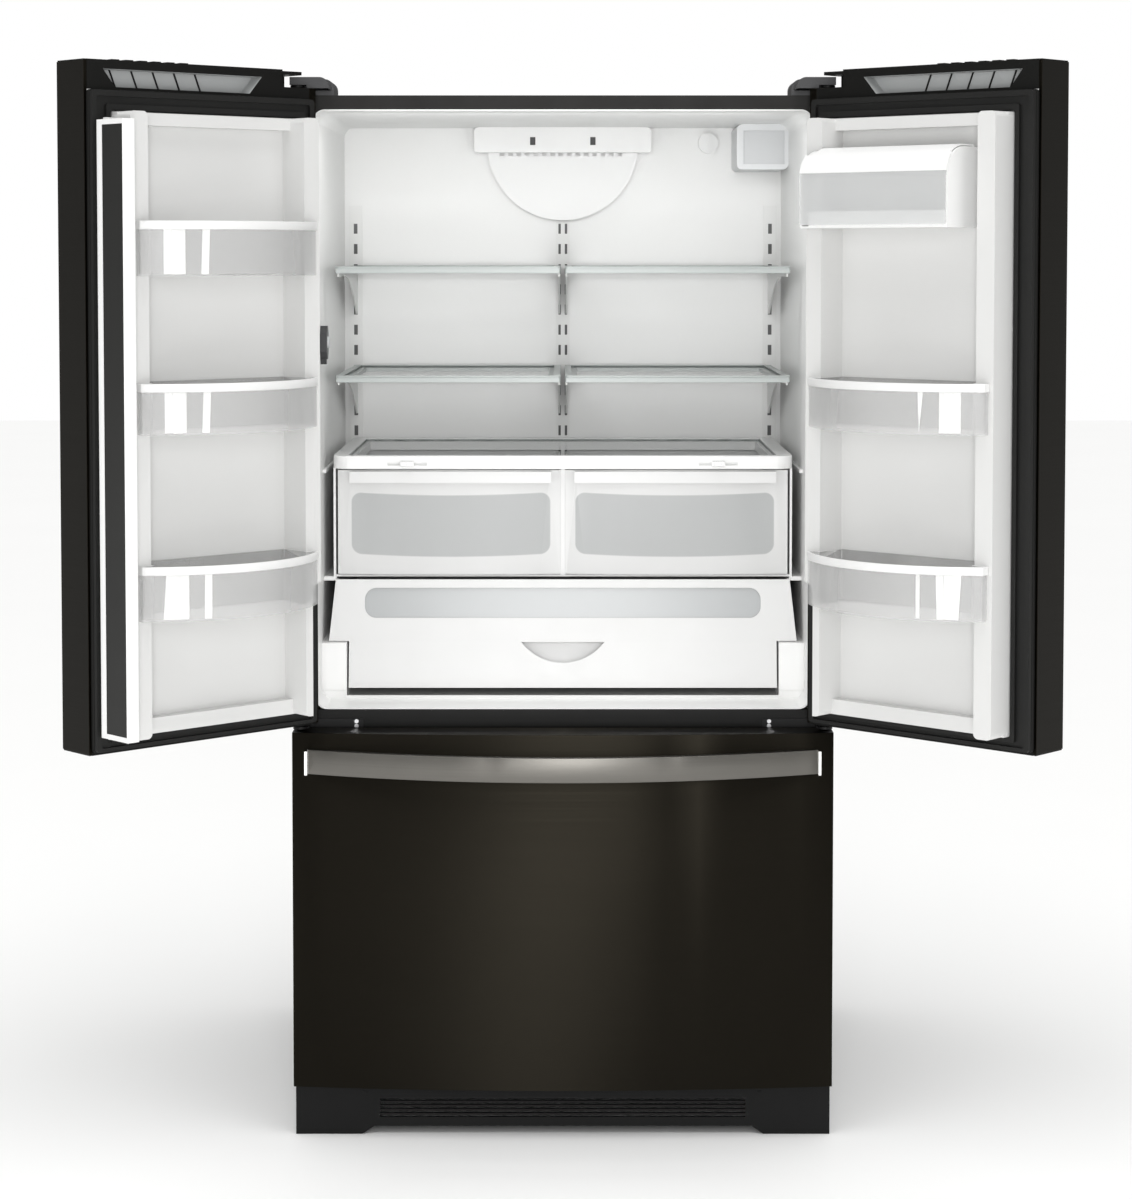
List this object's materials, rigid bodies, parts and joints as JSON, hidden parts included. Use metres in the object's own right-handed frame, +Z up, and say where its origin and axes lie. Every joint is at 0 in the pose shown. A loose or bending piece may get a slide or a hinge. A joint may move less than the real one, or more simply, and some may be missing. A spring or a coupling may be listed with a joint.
{
  "type": "french door refrigerator",
  "caption": "Black stainless french door refrigerator with its doors standing open, a bottom freezer drawer, shelves, crispers, a pantry drawer and door bins.",
  "frame": {"origin": "on the floor, under the middle of the box that holds the refrigerator with its doors open", "axes": "+Z up, -Y the front, +X to the right seen from the front"},
  "size_m": [1.5876, 1.1897, 1.7865],
  "materials": {
    "wrapper_paint": "black textured enamel on sheet steel, satin",
    "galvanised": "bare galvanised sheet steel",
    "black_trim": "black gloss painted steel",
    "black_stainless": "black stainless, tinted and finely brushed, fingerprint resistant",
    "handle_steel": "dark stainless, brushed along its length, polished ends",
    "slide_steel": "zinc plated steel",
    "hinge_steel": "black painted pressed steel",
    "ladder_paint": "white powder coat",
    "compressor_paint": "black enamel",
    "white_liner": "white vacuum formed plastic, semi gloss",
    "white_plastic": "white moulded plastic, semi gloss",
    "shelf_trim": "pale grey moulded plastic",
    "grey_plastic": "pale grey moulded plastic",
    "clear_plastic": "frosted translucent plastic",
    "dark_grey_plastic": "dark grey moulded plastic, fine texture",
    "black_plastic": "black moulded plastic, fine texture",
    "roller_nylon": "dark nylon",
    "gasket_rubber": "soft black vinyl seal",
    "shelf_glass": "clear tempered glass with a green edge",
    "foam": "rigid insulating foam"
  },
  "bodies": {
    "cabinet": {"cabinet_shell": "wrapper_paint", "back_panel": "galvanised", "machine_cover": "black_plastic", "cabinet_foam": "foam", "fridge_liner": "white_liner", "freezer_liner": "white_liner", "center_rail": "black_trim", "shelf_ladders": "ladder_paint", "upper_shelf_frames": "shelf_trim", "lower_shelf_frames": "shelf_trim", "shelf_glass": "shelf_glass", "crisper_frame": "white_plastic", "air_cover": "white_plastic", "filter_housing": "grey_plastic", "dispenser_housing": "dark_grey_plastic", "upper_hinges": "hinge_steel", "hinge_covers": "dark_grey_plastic", "center_hinges": "hinge_steel", "base_grille": "black_plastic", "base_frame": "galvanised", "compressor": "compressor_paint", "condenser_coil": "compressor_paint", "fixed_slides": "slide_steel"},
    "left_door": {"left_door_skin": "black_stainless", "left_door_caps": "black_plastic", "left_door_foam": "foam", "left_door_liner": "white_liner", "left_door_gasket": "gasket_rubber", "left_door_bins": "clear_plastic", "left_door_handle": "handle_steel"},
    "mullion": {"mullion_bar": "white_plastic"},
    "right_door": {"right_door_skin": "black_stainless", "right_door_caps": "black_plastic", "right_door_foam": "foam", "right_door_liner": "white_liner", "right_door_gasket": "gasket_rubber", "right_door_bins": "clear_plastic", "right_door_handle": "handle_steel", "dairy_box": "white_plastic"},
    "dairy_cover": {"dairy_lid": "clear_plastic"},
    "freezer": {"freezer_front_skin": "black_stainless", "freezer_front_foam": "foam", "freezer_front_liner": "white_liner", "freezer_gasket": "gasket_rubber", "freezer_handle": "handle_steel", "drawer_slides": "slide_steel", "lower_basket": "white_plastic"},
    "freezer_tray": {"upper_basket": "white_plastic"},
    "left_crisper": {"crisper_left": "clear_plastic"},
    "right_crisper": {"crisper_right": "clear_plastic"},
    "pantry": {"pantry_drawer": "white_plastic"},
    "left_humidity": {"humidity_slider_left": "grey_plastic"},
    "right_humidity": {"humidity_slider_right": "grey_plastic"},
    "dial": {"temperature_dial": "white_plastic"},
    "button": {"dispenser_button": "grey_plastic"},
    "left_roller": {"roller_left": "roller_nylon"},
    "right_roller": {"roller_right": "roller_nylon"},
    "left_leg": {"leveling_leg_left": "slide_steel"},
    "right_leg": {"leveling_leg_right": "slide_steel"},
    "fan": {"condenser_fan": "black_plastic"}
  },
  "joints": [
    {"name": "left_door_hinge", "type": "hinge", "parent": "cabinet", "child": "left_door", "pos_m": [-0.4395, -0.20924, 0.9], "axis": [0, 0, -1], "range_deg": [-137.3, 0]},
    {"name": "right_door_hinge", "type": "hinge", "parent": "cabinet", "child": "right_door", "pos_m": [0.4395, -0.20924, 0.9], "axis": [0, 0, 1], "range_deg": [-137.3, 0]},
    {"name": "mullion_hinge", "type": "hinge", "parent": "left_door", "child": "mullion", "pos_m": [-0.70213, -0.53732, 1.2], "axis": [0, 0, 1], "range_deg": [-90, 0]},
    {"name": "freezer_slide", "type": "slide", "parent": "cabinet", "child": "freezer", "axis": [0, -1, 0], "range_m": [0, 0.42]},
    {"name": "freezer_tray_slide", "type": "slide", "parent": "cabinet", "child": "freezer_tray", "axis": [0, -1, 0], "range_m": [0, 0.26]},
    {"name": "left_crisper_slide", "type": "slide", "parent": "cabinet", "child": "left_crisper", "axis": [0, -1, 0], "range_m": [0, 0.28]},
    {"name": "right_crisper_slide", "type": "slide", "parent": "cabinet", "child": "right_crisper", "axis": [0, -1, 0], "range_m": [0, 0.28]},
    {"name": "pantry_slide", "type": "slide", "parent": "cabinet", "child": "pantry", "axis": [0, -1, 0], "range_m": [0, 0.26]},
    {"name": "left_humidity_slide", "type": "slide", "parent": "cabinet", "child": "left_humidity", "axis": [1, 0, 0], "range_m": [-0.024, 0.024]},
    {"name": "right_humidity_slide", "type": "slide", "parent": "cabinet", "child": "right_humidity", "axis": [1, 0, 0], "range_m": [-0.024, 0.024]},
    {"name": "dairy_lid_hinge", "type": "hinge", "parent": "right_door", "child": "dairy_cover", "pos_m": [0.54814, -0.38569, 1.645], "axis": [-0.7349, 0.6782, 0], "range_deg": [0, 50]},
    {"name": "dial_turn", "type": "hinge", "parent": "cabinet", "child": "dial", "pos_m": [0.277, 0.47776, 1.695], "axis": [0, 1, 0], "range_deg": [-120, 120]},
    {"name": "button_press", "type": "slide", "parent": "cabinet", "child": "button", "axis": [-1, 0, 0], "range_m": [0, 0.003], "stiffness_N_per_m": 300},
    {"name": "left_roller_spin", "type": "hinge", "parent": "cabinet", "child": "left_roller", "pos_m": [-0.425, 0.53776, 0.02], "axis": [1, 0, 0], "continuous": true},
    {"name": "right_roller_spin", "type": "hinge", "parent": "cabinet", "child": "right_roller", "pos_m": [0.425, 0.53776, 0.02], "axis": [1, 0, 0], "continuous": true},
    {"name": "left_leg_screw", "type": "slide", "parent": "cabinet", "child": "left_leg", "axis": [0, 0, 1], "range_m": [0, 0.015]},
    {"name": "right_leg_screw", "type": "slide", "parent": "cabinet", "child": "right_leg", "axis": [0, 0, 1], "range_m": [0, 0.015]},
    {"name": "fan_spin", "type": "hinge", "parent": "cabinet", "child": "fan", "pos_m": [0.089, 0.48776, 0.135], "axis": [1, 0, 0], "continuous": true}
  ],
  "couplings": [
    {"joint": "freezer_tray_slide", "follows": "freezer_slide", "ratio": 0.6}
  ]
}
